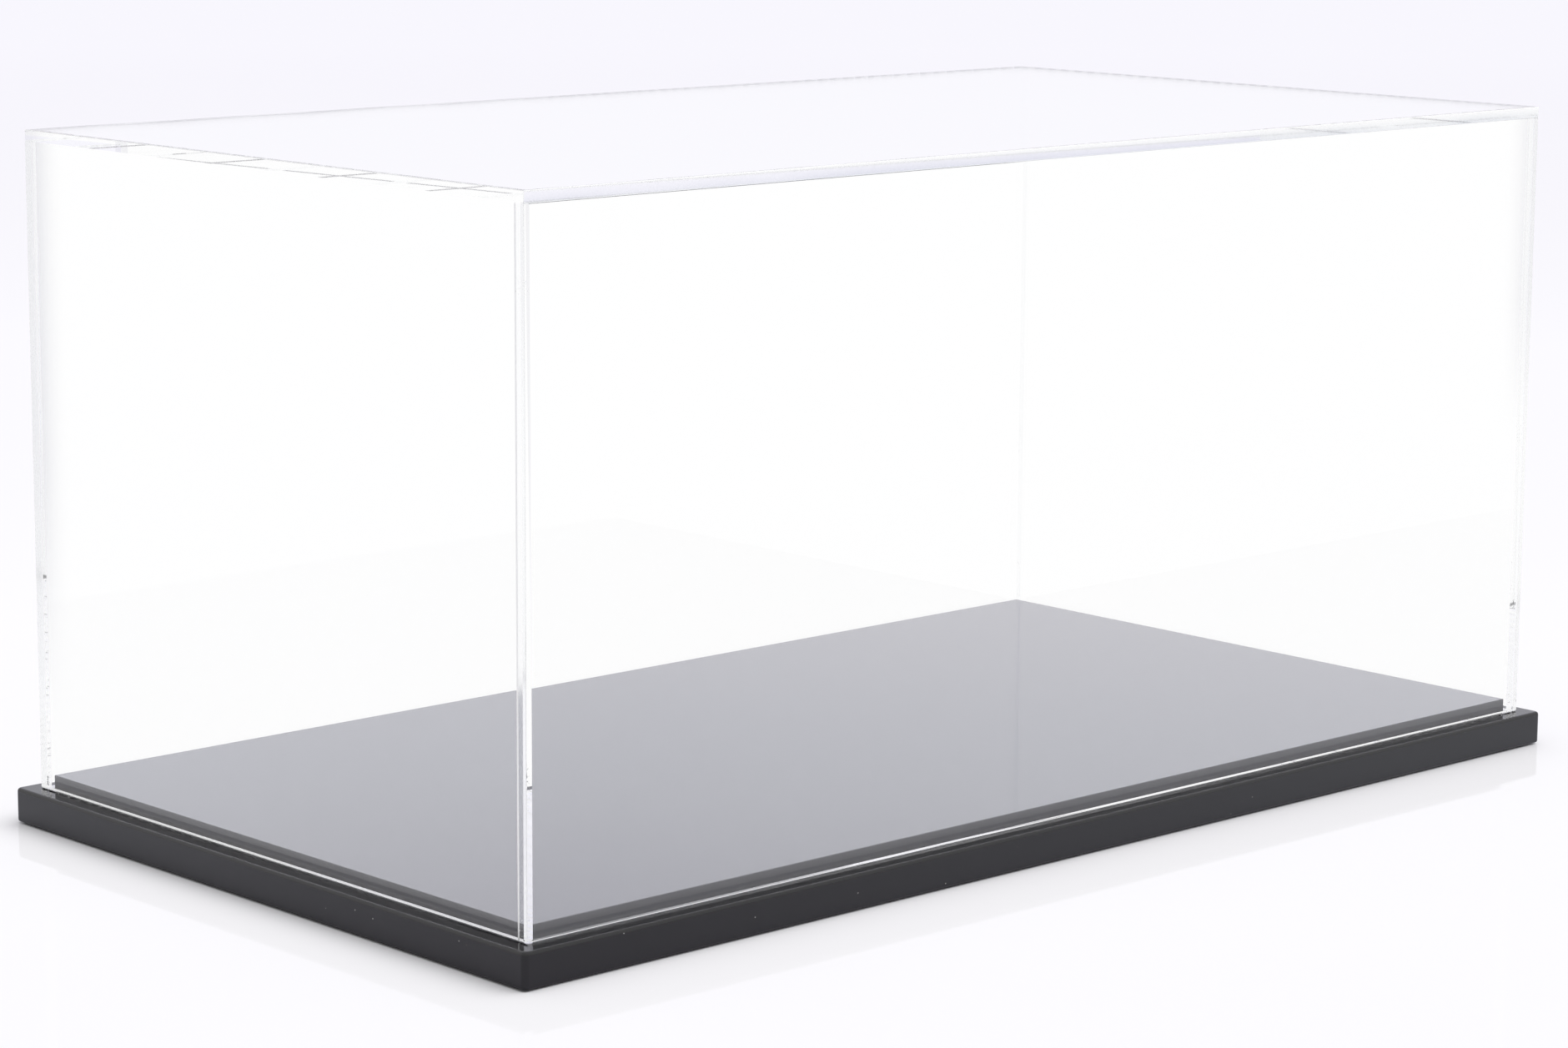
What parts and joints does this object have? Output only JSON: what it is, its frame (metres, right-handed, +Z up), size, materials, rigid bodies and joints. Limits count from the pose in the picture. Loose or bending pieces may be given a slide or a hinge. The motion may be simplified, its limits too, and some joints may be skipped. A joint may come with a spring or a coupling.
{
  "type": "model truck display case",
  "caption": "Free-standing display case: a black lacquered board with a raised gloss platform under a clear butt-jointed acrylic cover that lifts straight off.",
  "frame": {"origin": "on the table under the middle of the board, level with the underside of the pads", "axes": "+X to the right along the length, +Y from the front to the back, +Z up; the picture looks at the front (-Y) and left (-X) sides"},
  "size_m": [0.5, 0.28, 0.2426],
  "materials": {
    "black_lacquer": "black satin lacquer on fibreboard",
    "black_gloss_sheet": "gloss, saw-cut edges scraped",
    "clear_acrylic": "clear cast sheet, polished, cemented butt joints",
    "pad": "matte, self-adhesive"
  },
  "bodies": {
    "base": {"base_board": "black_lacquer", "display_platform": "black_gloss_sheet", "front_left_pad": "pad", "front_right_pad": "pad", "back_left_pad": "pad", "back_right_pad": "pad"},
    "cover": {"front_panel": "clear_acrylic", "back_panel": "clear_acrylic", "left_panel": "clear_acrylic", "right_panel": "clear_acrylic", "top_panel": "clear_acrylic"}
  },
  "joints": [
    {"name": "cover_lift", "type": "slide", "parent": "base", "child": "cover", "axis": [0, 0, 1], "range_m": [0, 0.25]}
  ]
}
